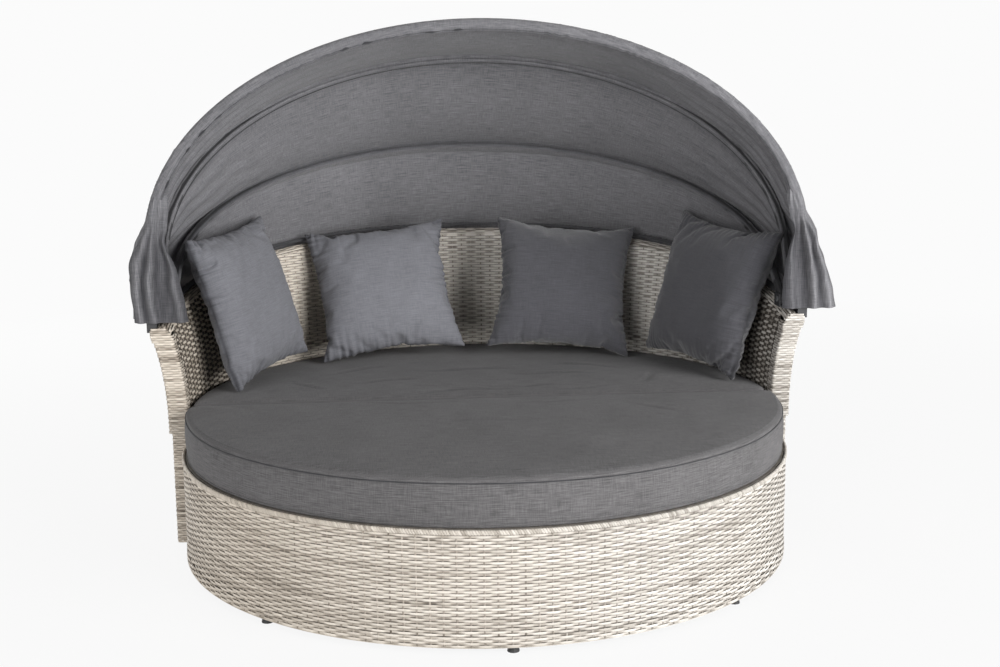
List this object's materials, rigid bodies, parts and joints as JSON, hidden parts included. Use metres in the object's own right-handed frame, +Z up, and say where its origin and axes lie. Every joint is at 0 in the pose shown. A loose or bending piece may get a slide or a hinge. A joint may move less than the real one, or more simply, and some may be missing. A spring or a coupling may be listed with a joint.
{
  "type": "outdoor daybed with folding canopy",
  "caption": "Round woven outdoor daybed: half-round sofa with a folding cloth canopy on hoops, half-round footstool, thick cushions and scatter pillows.",
  "frame": {"origin": "on the floor, below the middle of the whole set's box", "axes": "+X to the right seen from the front, +Y to the back of the sofa, +Z up"},
  "size_m": [1.9016, 1.6966, 1.3936],
  "materials": {
    "weave": "matte",
    "braid": "matte",
    "coated_steel": "satin",
    "zinc": "satin",
    "black_plastic": "matte",
    "white_plastic": "satin",
    "canopy_cloth": "matte",
    "seat_cloth": "matte",
    "grey_cloth": "matte",
    "charcoal_cloth": "matte"
  },
  "bodies": {
    "sofa": {"arm_wrap_left": "weave", "arm_wrap_right": "weave", "back_frame": "coated_steel", "back_inner_weave": "weave", "back_outer_weave": "weave", "back_rail_wrap": "braid", "base_corner_wrap_left": "weave", "base_corner_wrap_right": "weave", "base_deck": "weave", "base_foot_1": "black_plastic", "base_foot_2": "black_plastic", "base_foot_3": "black_plastic", "base_foot_4": "black_plastic", "base_foot_5": "black_plastic", "base_frame": "coated_steel", "base_front_weave": "weave", "base_hem_braid": "braid", "base_rear_weave": "weave", "bracket_screw_left": "zinc", "bracket_screw_right": "zinc", "front_hoop_washer_left": "white_plastic", "front_hoop_washer_right": "white_plastic", "pillow_far_left": "grey_cloth", "pillow_far_right": "charcoal_cloth", "pillow_left": "grey_cloth", "pillow_right": "charcoal_cloth", "pivot_bolt_left": "zinc", "pivot_bolt_right": "zinc", "pivot_bracket_left": "coated_steel", "pivot_bracket_right": "coated_steel", "pivot_nut_left": "zinc", "pivot_nut_right": "zinc", "rear_hoop_washer_left": "white_plastic", "rear_hoop_washer_right": "white_plastic", "seat_cushion": "seat_cloth"},
    "footstool": {"footstool_back_weave": "weave", "footstool_cushion": "seat_cloth", "footstool_deck": "weave", "footstool_foot_1": "black_plastic", "footstool_foot_2": "black_plastic", "footstool_foot_3": "black_plastic", "footstool_foot_4": "black_plastic", "footstool_foot_5": "black_plastic", "footstool_frame": "coated_steel", "footstool_front_weave": "weave", "footstool_hem_braid": "braid", "footstool_rim_braid": "braid"},
    "rear_hoop": {"canopy_rear_panel": "canopy_cloth", "hoop_rear": "coated_steel"},
    "middle_hoop": {"canopy_middle_panel": "canopy_cloth", "hoop_middle": "coated_steel"},
    "front_hoop": {"canopy_front_panel": "canopy_cloth", "hoop_front": "coated_steel"}
  },
  "joints": [
    {"name": "canopy_rear_fold", "type": "hinge", "parent": "sofa", "child": "rear_hoop", "pos_m": [0, -0.01635, 0.64], "axis": [-1, 0, 0], "range_deg": [0, 7], "deforming": ["canopy_rear_panel"]},
    {"name": "canopy_middle_fold", "type": "hinge", "parent": "rear_hoop", "child": "middle_hoop", "pos_m": [0, -0.01635, 0.64], "axis": [-1, 0, 0], "range_deg": [0, 25.5], "deforming": ["canopy_middle_panel"]},
    {"name": "canopy_front_fold", "type": "hinge", "parent": "middle_hoop", "child": "front_hoop", "pos_m": [0, -0.01635, 0.64], "axis": [-1, 0, 0], "range_deg": [0, 23], "deforming": ["canopy_front_panel"]},
    {"name": "footstool_slide", "type": "slide", "parent": "sofa", "child": "footstool", "axis": [0, -1, 0], "range_m": [0, 0.6]}
  ],
  "couplings": [
    {"joint": "canopy_middle_fold", "follows": "canopy_front_fold", "ratio": 1.1087},
    {"joint": "canopy_rear_fold", "follows": "canopy_front_fold", "ratio": 0.30435}
  ]
}
